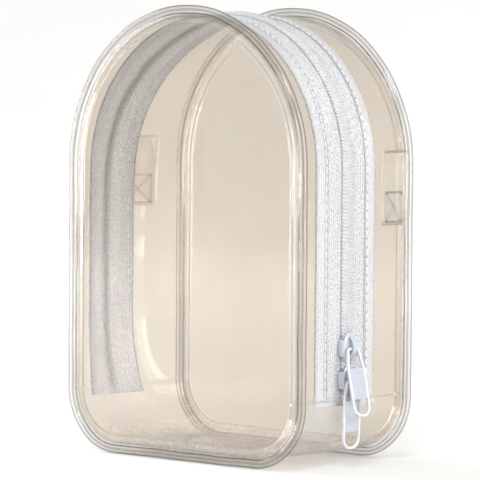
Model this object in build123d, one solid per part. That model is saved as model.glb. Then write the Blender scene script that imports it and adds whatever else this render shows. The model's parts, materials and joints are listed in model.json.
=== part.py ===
from build123d import *
import os
from math import cos, radians, sin, sqrt

# A clear film bag with an arched top, a zip that runs up one side, over the
# arch and down the other, and two sliders parked at the foot of the right side.
# Millimetres. X is the width, Y the depth with the front at -Y, Z is up.

# Bag
bag_width = 116.0
bag_height = 165.0
bag_depth = 62.0
corner_radius = 24.0
film_thickness = 0.4
piping_diameter = 3.4
flange_thickness = 0.4
weld_width = 3.6
seam_clearance = 0.05

# Zip
zip_offset = -3.5
tape_total_width = 32.0
tape_thickness = 0.6
film_overlap = 5.8
chain_width = 6.0
chain_height = 1.8
chain_gap = 1.4
core_width = 0.9
core_height = 0.7
core_clearance = 0.1
zip_end_right = 24.5
zip_end_left = 21.5
tape_tuck = 2.5

# Sliders
slider_length = 10.5
slider_wide = 8.6
slider_narrow = 7.2
plate_thickness = 0.8
running_clearance = 0.2
flange_wall = 0.8
post_width = 0.8
post_length = 1.8
crown_span = 7.6
crown_rise = 2.4
crown_thickness = 0.7
crown_width = 2.4
upper_slider_z = 43.6
lower_slider_z = 32.2

# Pulls
pull_length = 25.0
pull_wide = 9.4
pull_top_wide = 6.4
pull_thickness = 1.2
pull_rim = 1.3
pull_shoulder = 1.6
web_thickness = 0.6
bar_diameter = 1.1
hinge_height = 0.85
hinge_drop = 0.8
top_window = 6.4
bottom_window = 5.2
upper_pull_lean = 12.0
lower_pull_lean = -1.5

# Loop tabs
tab_width = 11.0
tab_thickness = 0.6
tab_weld_height = 13.0
tab_height = 27.0
tab_gap = 2.4
right_tab_y = 21.5
right_tab_z = 86.0
left_tab_y = 15.5
left_tab_z = 89.5

# The gusset's layers, as insets from the bag's outermost outline
gusset_inset = piping_diameter + seam_clearance
tape_inset = gusset_inset + film_thickness
weld_inset = gusset_inset + weld_width
coil_inset = tape_inset - chain_height
half_width = bag_width / 2
half_depth = bag_depth / 2

# The front seam's layers along Y; the back seam mirrors them
flange_front = -half_depth + piping_diameter / 2 - flange_thickness / 2
flange_back = flange_front + flange_thickness
panel_front = flange_front - film_thickness
turn_back = flange_back + film_thickness

# The slider's heights along +X on the right side
tape_outer = half_width - tape_inset
tape_inner = tape_outer - tape_thickness
chain_outer = tape_outer + chain_height
top_plate_inner = chain_outer + running_clearance
top_plate_outer = top_plate_inner + plate_thickness
bottom_plate_outer = tape_inner - running_clearance
bottom_plate_inner = bottom_plate_outer - plate_thickness
hinge_x = top_plate_outer + hinge_height

# The tips of the pulls stand further out than the bag, so the bag's own middle
# lies off the origin, which is the middle of everything
pull_reach = pull_length - bar_diameter / 2
upper_lean = radians(upper_pull_lean)
pull_tip_x = hinge_x + pull_reach * sin(upper_lean) + pull_thickness / 2 * cos(upper_lean)
bag_x = -(pull_tip_x - half_width) / 2


def xz_plane(y):
    """A drawing plane across the depth: its x is X and its y is Z."""
    return Plane(origin=(0, y, 0), x_dir=(1, 0, 0), z_dir=(0, -1, 0))


def slab(sketch, y_low, y_high):
    """The outline sketch as a solid between two depths."""
    return extrude(xz_plane(y_low) * sketch, amount=y_high - y_low, dir=(0, 1, 0))


def outline_wire(inset):
    """The bag's outline, inset all round: an arch on straight sides with round feet."""
    a = half_width - inset
    r = corner_radius - inset
    spring = bag_height - half_width
    foot = inset + r
    bulge = r * (1 - sqrt(0.5))
    right_side = Line((a, foot), (a, spring))
    arch = ThreePointArc((a, spring), (0, spring + a), (-a, spring))
    left_side = Line((-a, spring), (-a, foot))
    left_foot = ThreePointArc((-a, foot), (-a + bulge, inset + bulge), (-a + r, inset))
    base = Line((-a + r, inset), (a - r, inset))
    right_foot = ThreePointArc((a - r, inset), (a - bulge, inset + bulge), (a, foot))
    return Wire([right_side, arch, left_side, left_foot, base, right_foot])


def outline_face(inset):
    return Sketch() + Face(outline_wire(inset))


def ring(outer_inset, inner_inset):
    return outline_face(outer_inset) - outline_face(inner_inset)


def zip_region(drop=0.0):
    """The part of the outline that the zip runs round, above its two ends."""
    right_low = zip_end_right - drop
    left_low = zip_end_left - drop
    right = Pos(half_width, right_low + bag_height) * Rectangle(2 * half_width, 2 * bag_height)
    left = Pos(-half_width, left_low + bag_height) * Rectangle(2 * half_width, 2 * bag_height)
    return right + left


def in_place(solid):
    """Moves a solid from the bag's own middle to the origin of the whole."""
    return Pos(bag_x, 0, 0) * solid


def mirrored_back(front_solid):
    return mirror(front_solid, about=Plane.XZ)


def make_front_panel():
    return slab(outline_face(gusset_inset), panel_front, flange_front)


def make_front_piping():
    """A clear round bead with a flat flange, which is welded behind the panel."""
    bead_inset = piping_diameter / 2
    path = xz_plane(-half_depth + bead_inset) * outline_wire(bead_inset)
    start = path @ 0
    section = Plane(origin=start, z_dir=path % 0) * Circle(bead_inset)
    bead = sweep(section, path=path)
    flange = slab(ring(bead_inset, weld_inset), flange_front, flange_back)
    return bead + flange


def make_gusset_strip(turn_low, turn_high, wall_low, wall_high):
    """A film strip between a seam and the zip: a turned edge and a wall."""
    turned = slab(ring(gusset_inset, weld_inset) & zip_region(), turn_low, turn_high)
    wall = slab(ring(gusset_inset, tape_inset) & zip_region(), wall_low, wall_high)
    return turned + wall


def make_gusset_front_strip():
    inner_edge = zip_offset - tape_total_width / 2 + film_overlap
    return make_gusset_strip(flange_back, turn_back, flange_back, inner_edge)


def make_gusset_back_strip():
    inner_edge = zip_offset + tape_total_width / 2 - film_overlap
    return make_gusset_strip(-turn_back, -flange_back, inner_edge, -flange_back)


def make_bottom_gusset():
    """The plain film gusset that joins the two ends of the zip under the bag."""
    wall = slab(ring(gusset_inset, tape_inset) - zip_region(), flange_back, -flange_back)
    edge = ring(gusset_inset, weld_inset) - zip_region()
    front_turn = slab(edge, flange_back, turn_back)
    back_turn = slab(edge, -turn_back, -flange_back)
    return wall + front_turn + back_turn


def make_tape(side):
    """One tape, side -1 for the front and +1 for the back, tucked under the bottom gusset."""
    near = zip_offset + side * chain_gap / 2
    far = zip_offset + side * tape_total_width / 2
    band = ring(tape_inset, tape_inset + tape_thickness) & zip_region(tape_tuck)
    return slab(band, min(near, far), max(near, far))


def coil_shell(side, wall_inset):
    """A band along one side of the chain, wall_inset in from the coil's own faces."""
    near = zip_offset + side * (chain_gap / 2 + wall_inset)
    far = zip_offset + side * (chain_width / 2 - wall_inset)
    band = ring(coil_inset + wall_inset, tape_inset - wall_inset) & zip_region()
    return slab(band, min(near, far), max(near, far))


def core_channel(side, clearance):
    """The space along the middle of a coil for its core cord, with a clearance all round."""
    middle_y = zip_offset + side * (chain_gap + chain_width) / 4
    middle_inset = (coil_inset + tape_inset) / 2
    half_y = core_width / 2 + clearance
    half_inset = core_height / 2 + clearance
    band = ring(middle_inset - half_inset, middle_inset + half_inset) & zip_region()
    return slab(band, middle_y - half_y, middle_y + half_y)


def make_coil(side):
    """One side of the chain: the nylon coil's envelope, with its core's channel."""
    return coil_shell(side, 0) - core_channel(side, core_clearance)


def make_core(side):
    return core_channel(side, 0)


def slider_plate(x_low, x_high, z_middle, narrow_up):
    """A slider plate: wide at its mouth, narrower where the closed chain leaves."""
    end = slider_length / 2 * narrow_up
    points = [
        (-slider_wide / 2, -end),
        (slider_wide / 2, -end),
        (slider_wide / 2, -end / 4),
        (slider_narrow / 2, end),
        (-slider_narrow / 2, end),
        (-slider_wide / 2, -end / 4),
    ]
    plan = make_face(Polyline(points, close=True))
    plan = fillet(plan.vertices(), radius=0.7)
    plane = Plane(origin=(x_low, zip_offset, z_middle), x_dir=(0, 1, 0), z_dir=(1, 0, 0))
    return extrude(plane * plan, amount=x_high - x_low)


def make_slider_body(z_middle, narrow_up):
    """Two plates joined by a post, with side flanges that hold the chain shut."""
    low_plate = slider_plate(bottom_plate_inner, bottom_plate_outer, z_middle, narrow_up)
    outer = slider_plate(tape_outer + running_clearance, top_plate_outer, z_middle, narrow_up)
    outer = fillet(outer.faces().sort_by(Axis.X)[-1].edges(), radius=0.3)
    channel_half = chain_width / 2 + running_clearance
    channel_x = (tape_outer + top_plate_inner) / 2
    channel = Pos(channel_x, zip_offset, z_middle) * Box(
        top_plate_inner - tape_outer, 2 * channel_half, 2 * slider_length
    )
    post_z = z_middle - narrow_up * (slider_length - post_length) / 2
    post = Pos((bottom_plate_inner + top_plate_inner) / 2, zip_offset, post_z) * Box(
        top_plate_inner - bottom_plate_inner, post_width, post_length
    )
    return low_plate + (outer - channel) + post


def make_crown(z_middle):
    """The arched bridge on the slider that the pull hangs from."""
    radius = ((crown_span / 2) ** 2 + crown_rise**2) / (2 * crown_rise)
    centre_x = top_plate_outer + crown_rise - radius
    disc = Circle(radius) - Circle(radius - crown_thickness)
    plane = Plane(
        origin=(centre_x, zip_offset - crown_width / 2, z_middle),
        x_dir=(1, 0, 0),
        z_dir=(0, -1, 0),
    )
    arch = extrude(plane * disc, amount=crown_width, dir=(0, 1, 0))
    keep = Pos(top_plate_outer + crown_rise, zip_offset, z_middle) * Box(
        2 * crown_rise, 2 * crown_width, 2 * radius
    )
    return arch & keep


def pull_outline(inset):
    """The pull's outline, hanging from its bar at the drawing's origin."""
    top = bar_diameter / 2 - inset
    bottom = -(pull_length - bar_diameter / 2) + inset
    shoulder = -top_window
    points = [
        (-pull_top_wide / 2 + inset, top),
        (pull_top_wide / 2 - inset, top),
        (pull_wide / 2 - inset, shoulder),
        (pull_wide / 2 - inset, bottom),
        (-pull_wide / 2 + inset, bottom),
        (-pull_wide / 2 + inset, shoulder),
    ]
    plan = make_face(Polyline(points, close=True))
    plan = fillet(plan.vertices().sort_by(Axis.Y)[:2], radius=pull_wide / 2 - inset - 0.7)
    return fillet(plan.vertices().sort_by(Axis.Y)[-2:], radius=pull_shoulder - inset)


def pull_window(z_low, z_high, inner):
    """The part of the pull's inner outline between two heights."""
    band = Pos(0, (z_low + z_high) / 2) * Rectangle(2 * pull_wide, z_high - z_low)
    return inner & band


def make_pull(z_middle, lean):
    """A flat frame with a thin web in its middle and a window above and below it."""
    inner = pull_outline(pull_rim)
    bottom = -(pull_length - bar_diameter / 2) + pull_rim
    bar_half = bar_diameter / 2
    top_hole = pull_window(-bar_half - top_window, -bar_half, inner)
    bottom_hole = pull_window(bottom, bottom + bottom_window, inner)
    web_area = pull_window(bottom + bottom_window, -bar_half - top_window, inner)
    plane = Plane(origin=(0, 0, 0), x_dir=(0, 1, 0), z_dir=(1, 0, 0))
    blank = pull_outline(0) - top_hole - bottom_hole
    frame = extrude(plane * blank, amount=pull_thickness / 2, both=True)
    recess = (pull_thickness - web_thickness) / 2
    pocket = extrude(plane.offset(web_thickness / 2) * web_area, amount=recess)
    back_pocket = extrude(plane.offset(-web_thickness / 2) * web_area, amount=-recess)
    solid = frame - pocket - back_pocket
    bar_length = pull_top_wide - 2 * pull_rim
    head = Box(2 * pull_thickness, bar_length, 2 * pull_rim)
    bar = Rot(90, 0, 0) * Cylinder(bar_half, bar_length)
    solid = (solid - head) + bar
    hinge_z = z_middle - hinge_drop
    return Pos(hinge_x, zip_offset, hinge_z) * Rot(0, -lean, 0) * solid


def make_loop_tab(side, tab_y, foot_z):
    """A clear strap folded double and welded at its foot, side +1 right and -1 left."""
    wall_x = half_width - gusset_inset
    outer_x = wall_x + 2 * tab_thickness + tab_gap
    weld = Pos(wall_x + tab_thickness, tab_y, foot_z + tab_weld_height / 2) * Box(
        2 * tab_thickness, tab_width, tab_weld_height
    )
    loop_radius = (outer_x - wall_x) / 2
    loop_low = foot_z + tab_weld_height
    loop_high = foot_z + tab_height - loop_radius
    middle_x = (wall_x + outer_x) / 2
    outer_arc = ThreePointArc(
        (wall_x, loop_high), (middle_x, loop_high + loop_radius), (outer_x, loop_high)
    )
    outer_plan = make_face(
        Curve()
        + [
            Line((wall_x, loop_low), (wall_x, loop_high)),
            outer_arc,
            Line((outer_x, loop_high), (wall_x + 2 * tab_thickness, loop_low)),
            Line((wall_x + 2 * tab_thickness, loop_low), (wall_x, loop_low)),
        ]
    )
    inner_plan = offset(outer_plan, amount=-tab_thickness)
    loop = slab(outer_plan - inner_plan, tab_y - tab_width / 2, tab_y + tab_width / 2)
    tab = weld + loop
    if side < 0:
        tab = mirror(tab, about=Plane.YZ)
    return tab


def make_all():
    front_piping = make_front_piping()
    front_panel = make_front_panel()
    return {
        "front_panel": front_panel,
        "back_panel": mirrored_back(front_panel),
        "front_piping": front_piping,
        "back_piping": mirrored_back(front_piping),
        "gusset_front_strip": make_gusset_front_strip(),
        "gusset_back_strip": make_gusset_back_strip(),
        "bottom_gusset": make_bottom_gusset(),
        "zipper_tape_front": make_tape(-1),
        "zipper_tape_back": make_tape(1),
        "coil_front": make_coil(-1),
        "coil_back": make_coil(1),
        "core_cord_front": make_core(-1),
        "core_cord_back": make_core(1),
        "upper_slider_body": make_slider_body(upper_slider_z, 1),
        "upper_slider_crown": make_crown(upper_slider_z),
        "upper_pull": make_pull(upper_slider_z, upper_pull_lean),
        "lower_slider_body": make_slider_body(lower_slider_z, -1),
        "lower_slider_crown": make_crown(lower_slider_z),
        "lower_pull": make_pull(lower_slider_z, lower_pull_lean),
        "left_loop_tab": make_loop_tab(-1, left_tab_y, left_tab_z),
        "right_loop_tab": make_loop_tab(1, right_tab_y, right_tab_z),
    }


os.makedirs("parts", exist_ok=True)
for node_name, node_shape in make_all().items():
    export_step(in_place(node_shape), f"parts/{node_name}.step")
print(f"bag middle at x {bag_x:.3f}")
print(f"hinges at x {bag_x + hinge_x:.3f} y {zip_offset:.3f}")
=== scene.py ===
import bpy
import bmesh
import json
import math
from mathutils import Matrix, Vector


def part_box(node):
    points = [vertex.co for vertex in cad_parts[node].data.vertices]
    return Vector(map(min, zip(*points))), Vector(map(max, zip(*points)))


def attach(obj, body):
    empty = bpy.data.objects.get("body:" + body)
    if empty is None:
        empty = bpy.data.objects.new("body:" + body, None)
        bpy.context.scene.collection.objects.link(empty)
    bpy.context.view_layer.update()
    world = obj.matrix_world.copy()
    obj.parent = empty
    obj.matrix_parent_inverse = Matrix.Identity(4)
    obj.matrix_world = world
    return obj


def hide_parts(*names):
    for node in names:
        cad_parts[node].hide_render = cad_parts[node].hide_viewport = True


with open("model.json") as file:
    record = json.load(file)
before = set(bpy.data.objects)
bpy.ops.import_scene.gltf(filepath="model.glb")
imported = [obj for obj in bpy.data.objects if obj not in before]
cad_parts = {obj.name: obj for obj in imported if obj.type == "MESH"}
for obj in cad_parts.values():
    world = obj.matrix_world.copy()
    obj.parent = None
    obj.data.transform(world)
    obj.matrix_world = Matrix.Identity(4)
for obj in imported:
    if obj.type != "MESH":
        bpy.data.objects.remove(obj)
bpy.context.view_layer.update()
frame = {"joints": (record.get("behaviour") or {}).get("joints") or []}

MM = 0.001

# ------------------------ sizes, in millimetres


def node_box(node):
    """A CAD node's lowest and highest corners, in millimetres."""
    low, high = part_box(node)
    return [c / MM for c in low], [c / MM for c in high]


PIPING_LOW, PIPING_HIGH = node_box("front_piping")
STRIP_LOW, STRIP_HIGH = node_box("gusset_front_strip")
BACK_STRIP_LOW = node_box("gusset_back_strip")[0]
BASE_HIGH = node_box("bottom_gusset")[1]
PANEL_LOW, PANEL_HIGH = node_box("front_panel")
TAPE_LOW, TAPE_HIGH = node_box("zipper_tape_front")
BACK_TAPE_HIGH = node_box("zipper_tape_back")[1]
COIL_LOW, COIL_HIGH = node_box("coil_front")
BACK_COIL_HIGH = node_box("coil_back")[1]

BAG_X = (PIPING_LOW[0] + PIPING_HIGH[0]) / 2
HALF_WIDTH = (PIPING_HIGH[0] - PIPING_LOW[0]) / 2
HEIGHT = PIPING_HIGH[2]
FRONT_Y = PIPING_LOW[1]
BEAD_RADIUS = (PIPING_HIGH[1] - PIPING_LOW[1]) / 2
CORNER_RADIUS = 24.0
SPRING_Z = HEIGHT - HALF_WIDTH

FILM = PANEL_HIGH[1] - PANEL_LOW[1]
GUSSET_INSET = PIPING_HIGH[0] - STRIP_HIGH[0]
TAPE_INSET = PIPING_HIGH[0] - TAPE_HIGH[0]
COIL_INSET = PIPING_HIGH[0] - COIL_HIGH[0]
TAPE_THICKNESS = 0.6
WELD_WIDTH = 3.6
WELD_INSET = GUSSET_INSET + WELD_WIDTH
PANEL_Y = (PANEL_LOW[1] + PANEL_HIGH[1]) / 2
FLANGE_Y = PANEL_HIGH[1] + FILM / 2
TURN_Y = STRIP_LOW[1] + FILM / 2

ZIP_Y = (COIL_LOW[1] + BACK_COIL_HIGH[1]) / 2
CHAIN_HALF = (BACK_COIL_HIGH[1] - COIL_LOW[1]) / 2
TAPE_HALF = (BACK_TAPE_HIGH[1] - TAPE_LOW[1]) / 2
ZIP_END_LEFT = STRIP_LOW[2]
ZIP_END_RIGHT = BASE_HIGH[2]
TAPE_TUCK = ZIP_END_LEFT - TAPE_LOW[2]

STATION_STEP = 1.6
PANEL_STEP = 2.2
BEAD_STEP = 1.3
BASE_STEP = 1.2
TAPE_STEP = 1.0
COIL_PITCH = 1.3
COIL_WIRE = 0.54
CORE_RADIUS = 0.4
BORE_RADIUS = 0.4


# ------------------------ the bag's outline


class Station:
    """A place on the outermost outline: its point, outward direction and distance along."""

    def __init__(self, x, z, nx, nz, along):
        self.x, self.z, self.nx, self.nz, self.along = x, z, nx, nz, along

    def at(self, inset, y):
        """The point an inset inside the outline at a depth y, with the soft gusset's own give."""
        out, drift = give(self.along, y)
        depth = inset - out
        return (
            (BAG_X + self.x - self.nx * depth) * MM,
            (y + drift) * MM,
            (self.z - self.nz * depth) * MM,
        )


SIDE = SPRING_Z - CORNER_RADIUS
ARCH = math.pi * HALF_WIDTH
FOOT = math.pi / 2 * CORNER_RADIUS
BASE = 2 * (HALF_WIDTH - CORNER_RADIUS)
BASE_START = 2 * SIDE + ARCH + FOOT
LOOP = BASE_START + BASE + FOOT


def station(along):
    """The station a distance along the loop, from the foot of the right side upward."""
    s = along % LOOP
    if s < SIDE:
        return Station(HALF_WIDTH, CORNER_RADIUS + s, 1, 0, along)
    s -= SIDE
    if s < ARCH:
        c, n = math.cos(s / HALF_WIDTH), math.sin(s / HALF_WIDTH)
        return Station(HALF_WIDTH * c, SPRING_Z + HALF_WIDTH * n, c, n, along)
    s -= ARCH
    if s < SIDE:
        return Station(-HALF_WIDTH, SPRING_Z - s, -1, 0, along)
    s -= SIDE
    foot_x = HALF_WIDTH - CORNER_RADIUS
    if s < FOOT:
        a = math.pi + s / CORNER_RADIUS
        c, n = math.cos(a), math.sin(a)
        return Station(-foot_x + CORNER_RADIUS * c, CORNER_RADIUS * (1 + n), c, n, along)
    s -= FOOT
    if s < BASE:
        return Station(-foot_x + s, 0, 0, -1, along)
    a = 1.5 * math.pi + (s - BASE) / CORNER_RADIUS
    c, n = math.cos(a), math.sin(a)
    return Station(foot_x + CORNER_RADIUS * c, CORNER_RADIUS * (1 + n), c, n, along)


def right_along(z):
    """The distance along the loop at a height low on the right side."""
    if z >= CORNER_RADIUS:
        return z - CORNER_RADIUS
    return -CORNER_RADIUS * math.asin(1 - z / CORNER_RADIUS)


def left_along(z):
    """The distance along the loop at a height low on the left side."""
    if z >= CORNER_RADIUS:
        return SIDE + ARCH + SPRING_Z - z
    return 2 * SIDE + ARCH + CORNER_RADIUS * math.asin(1 - z / CORNER_RADIUS)


def stations(start, end, step=STATION_STEP):
    count = max(2, round((end - start) / step))
    return [station(start + (end - start) * k / count) for k in range(count + 1)]


def whole_loop(step):
    return stations(0, LOOP, step)[:-1]


ZIP_START = right_along(ZIP_END_RIGHT)
ZIP_STOP = left_along(ZIP_END_LEFT)


# ------------------------ soft bowing of the gusset

LEFT_BOW = 10.5
LEFT_DRIFT = -2.6
LEFT_RISE = 85.0
LEFT_FALL = 62.0
LEFT_FROM_ARCH = 0.62
BOW_SKEW = 1.45
BASE_SAG = 2.2
BASE_EASE_OUT = 12.0
BASE_EASE_IN = 25.0
FOLD_REACH = 1.2


def smooth(a, b, value):
    t = min(1.0, max(0.0, (value - a) / (b - a)))
    return t * t * (3 - 2 * t)


def give(along, y):
    """How far the gusset stands out and drifts sideways: most on the soft left side."""
    reach = abs(TURN_Y) - FOLD_REACH
    if abs(y) >= reach:
        return 0.0, 0.0
    along %= LOOP
    left_start = SIDE + ARCH * LEFT_FROM_ARCH
    left = smooth(left_start, left_start + LEFT_RISE, along)
    left *= 1 - smooth(BASE_START - LEFT_FALL, BASE_START, along)
    base = smooth(BASE_START - BASE_EASE_OUT, BASE_START + BASE_EASE_IN, along)
    base_end = BASE_START + BASE
    base *= 1 - smooth(base_end - BASE_EASE_IN, base_end + BASE_EASE_OUT, along)
    level = 1 - (y / reach) ** 2
    skewed = math.sin(math.pi * ((y + reach) / (2 * reach)) ** BOW_SKEW)
    return LEFT_BOW * left * skewed + BASE_SAG * base * level, LEFT_DRIFT * left * level


# ------------------------ mesh helpers

BEVEL_ANGLE = 35

def add_piece(name, verts, faces, *materials, body="root", uvs=None, shade_smooth=True):
    """A piece from its mesh, on a body; every face starts on the first of its materials."""
    mesh = bpy.data.meshes.new(name)
    mesh.from_pydata(verts, [], faces)
    if uvs:
        layer = mesh.uv_layers.new(name="along")
        for polygon in mesh.polygons:
            for loop in polygon.loop_indices:
                layer.data[loop].uv = uvs[mesh.loops[loop].vertex_index]
    mesh.update()
    edit = bmesh.new()
    edit.from_mesh(mesh)
    bmesh.ops.recalc_face_normals(edit, faces=edit.faces)
    edit.to_mesh(mesh)
    edit.free()
    for polygon in mesh.polygons:
        polygon.use_smooth = shade_smooth
    piece = bpy.data.objects.new(name, mesh)
    bpy.context.scene.collection.objects.link(piece)
    for material in materials:
        mesh.materials.append(material)
    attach(piece, body)
    return piece


def finish_face(piece, polygon, material):
    """Give one face of a piece one of the piece's own materials."""
    polygon.material_index = piece.data.materials.find(material.name)


def band(count, size, start=0, closed=False):
    """Quads that join rings of points, each ring to the next, from a start vertex on."""
    faces = []
    for k in range(count if closed else count - 1):
        here, there = start + k * size, start + (k + 1) % count * size
        for j in range(size):
            i = (j + 1) % size
            faces.append((here + j, here + i, there + i, there + j))
    return faces


def skin(count, size, closed=False):
    """A band of rings from vertex 0 with its two ends shut, or run round to its start."""
    faces = band(count, size, closed=closed)
    if not closed:
        faces += [tuple(range(size))[::-1], tuple(range((count - 1) * size, count * size))]
    return faces


def sweep(path, section, closed_path=False):
    """Verts, faces and UVs of a closed section carried along stations."""
    verts, uvs = [], []
    rings = [section(s) for s in path]
    for s, ring in zip(path, rings):
        across = 0.0
        last = ring[0]
        for point in ring:
            across += math.hypot(point[0] - last[0], point[1] - last[1])
            last = point
            verts.append(s.at(*point))
            uvs.append((s.along, across))
    return verts, skin(len(path), len(rings[0]), closed_path), uvs


def joined(*parts):
    """Several lots of verts, faces and UVs as one lot."""
    verts, faces, uvs = [], [], []
    for part in parts:
        offset = len(verts)
        verts += part[0]
        faces += [tuple(i + offset for i in face) for face in part[1]]
        if len(part) > 2:
            uvs += part[2]
    return verts, faces, uvs


def thick_line(points, thickness):
    """A closed section of even thickness round a line of (inset, y) points."""
    left, right = [], []
    for k, (a, b) in enumerate(points):
        before = points[max(k - 1, 0)]
        after = points[min(k + 1, len(points) - 1)]
        da, db = after[0] - before[0], after[1] - before[1]
        length = math.hypot(da, db)
        na, nb = -db / length * thickness / 2, da / length * thickness / 2
        left.append((a + na, b + nb))
        right.append((a - na, b - nb))
    return left + right[::-1]


def circle(inset, y, radius, count):
    turns = [2 * math.pi * k / count for k in range(count)]
    return [(inset + radius * math.cos(a), y + radius * math.sin(a)) for a in turns]


def tube(points, radius, sides=8):
    """A round tube along points in millimetres, turned as little as possible."""
    verts = []
    count = len(points)
    vectors = [Vector(p) for p in points]
    up = None
    for k, p in enumerate(vectors):
        tangent = (vectors[min(k + 1, count - 1)] - vectors[max(k - 1, 0)]).normalized()
        if up is None:
            up = tangent.orthogonal()
        up = (up - tangent * up.dot(tangent)).normalized()
        side = tangent.cross(up)
        r = radius(k) if callable(radius) else radius
        for j in range(sides):
            a = 2 * math.pi * j / sides
            v = p + (up * math.cos(a) + side * math.sin(a)) * r
            verts.append((v.x * MM, v.y * MM, v.z * MM))
    return verts, skin(count, sides)


def ripple(u, v, waves):
    """A smooth wave from a few (height, u length, v length, shift) terms."""
    return sum(
        h * math.sin(2 * math.pi * (u / lu + v / lv) + shift) for h, lu, lv, shift in waves
    )


def bevelled(piece, width, segments=3):
    bevel = piece.modifiers.new("Bevel", "BEVEL")
    bevel.width = width * MM
    bevel.segments = segments
    bevel.limit_method = "ANGLE"
    bevel.angle_limit = math.radians(BEVEL_ANGLE)
    return piece


# ------------------------ materials


def new_material(name):
    material = bpy.data.materials.new(name)
    material.use_nodes = True
    tree = material.node_tree
    tree.nodes.clear()
    output = tree.nodes.new("ShaderNodeOutputMaterial")
    return material, tree, output


def add_node(tree, kind, **inputs):
    node = tree.nodes.new(kind)
    for key, value in inputs.items():
        node.inputs[key.replace("_", " ")].default_value = value
    return node


def ramp(tree, source, *stops):
    """A colour ramp through (position, colour) stops, fed by source."""
    node = tree.nodes.new("ShaderNodeValToRGB")
    elements = node.color_ramp.elements
    while len(elements) < len(stops):
        elements.new(0.5)
    for element, (position, colour) in zip(elements, stops):
        element.position = position
        element.color = (*colour, 1)
    tree.links.new(source, node.inputs["Fac"])
    return node


def noise(tree, scale, detail=2.0):
    coords = tree.nodes.new("ShaderNodeTexCoord")
    texture = add_node(tree, "ShaderNodeTexNoise", Scale=scale, Detail=detail)
    tree.links.new(coords.outputs["Object"], texture.inputs["Vector"])
    return texture.outputs["Fac"]


def bump(tree, height, strength, distance, under=None):
    """A bumped normal from a height, laid over another bumped normal if one is given."""
    node = add_node(tree, "ShaderNodeBump", Strength=strength, Distance=distance)
    tree.links.new(height, node.inputs["Height"])
    if under is not None:
        tree.links.new(under, node.inputs["Normal"])
    return node.outputs["Normal"]


def maths(tree, operation, *values):
    """A Math node fed by values, each one a number or another node's output."""
    node = tree.nodes.new("ShaderNodeMath")
    node.operation = operation
    for socket, value in zip(node.inputs, values):
        if isinstance(value, (int, float)):
            socket.default_value = value
        else:
            tree.links.new(value, socket)
    return node.outputs[0]


def mixed(tree, share, first, second):
    """A mix of two shaders, with the second one's share as a number or an output."""
    mix = tree.nodes.new("ShaderNodeMixShader")
    if isinstance(share, float):
        mix.inputs["Fac"].default_value = share
    else:
        tree.links.new(share, mix.inputs["Fac"])
    tree.links.new(first, mix.inputs[1])
    tree.links.new(second, mix.inputs[2])
    return mix.outputs["Shader"]


EVEN_CLOUD = (45.0, 0.3, 0.75, 0.5, 1.5)
HEAD_ON_GLOSS = 0.04
GLANCE_POWER = 4.0


def clear_plastic(name, face, edge, roughness, wave, fine, rim=(), shine=0.8,
                  haze=0.02, haze_colour=(0.9, 0.9, 0.9), cloud=EVEN_CLOUD):
    """Clear film: it passes light, more weakly at a glancing angle, and mirrors on top.

    face and edge tint the light that passes straight on and at a glance, with rim's stops
    between them. wave and fine are the (scale, depth in metres) of two layers of bumps. cloud is
    the milkiness's (scale, thin stop, thick stop, thin share, thick share) of haze.
    """
    material, tree, output = new_material(name)
    links = tree.links
    normal = bump(tree, noise(tree, wave[0]), 1.0, wave[1])
    normal = bump(tree, noise(tree, fine[0], 3.0), 1.0, fine[1], normal)
    facing = add_node(tree, "ShaderNodeLayerWeight", Blend=0.5)
    links.new(normal, facing.inputs["Normal"])
    tint = ramp(tree, facing.outputs["Facing"], (0.0, face), *(rim or [(0.45, face)]), (1.0, edge))
    through = tree.nodes.new("ShaderNodeBsdfTransparent")
    links.new(tint.outputs["Color"], through.inputs["Color"])
    milk = add_node(tree, "ShaderNodeBsdfDiffuse", Color=(*haze_colour, 1))
    grain, start, end, thin, thick = cloud
    milkiness = ramp(
        tree, noise(tree, grain, 4.0), (start, (haze * thin,) * 3), (end, (haze * thick,) * 3)
    )
    cloudy = mixed(tree, milkiness.outputs["Color"], through.outputs["BSDF"], milk.outputs["BSDF"])
    gloss = add_node(tree, "ShaderNodeBsdfAnisotropic", Roughness=roughness)
    links.new(normal, gloss.inputs["Normal"])
    steep = maths(tree, "POWER", facing.outputs["Facing"], GLANCE_POWER)
    mirror = maths(tree, "MULTIPLY_ADD", steep, shine, HEAD_ON_GLOSS)
    links.new(mixed(tree, mirror, cloudy, gloss.outputs["BSDF"]), output.inputs["Surface"])
    return material


def lit_through(tree, shader, colour, glow):
    """A shader with a share that lets light from behind show in the same colour."""
    lit = tree.nodes.new("ShaderNodeBsdfTranslucent")
    tree.links.new(colour, lit.inputs["Color"])
    return mixed(tree, glow, shader.outputs["BSDF"], lit.outputs["BSDF"])


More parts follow.
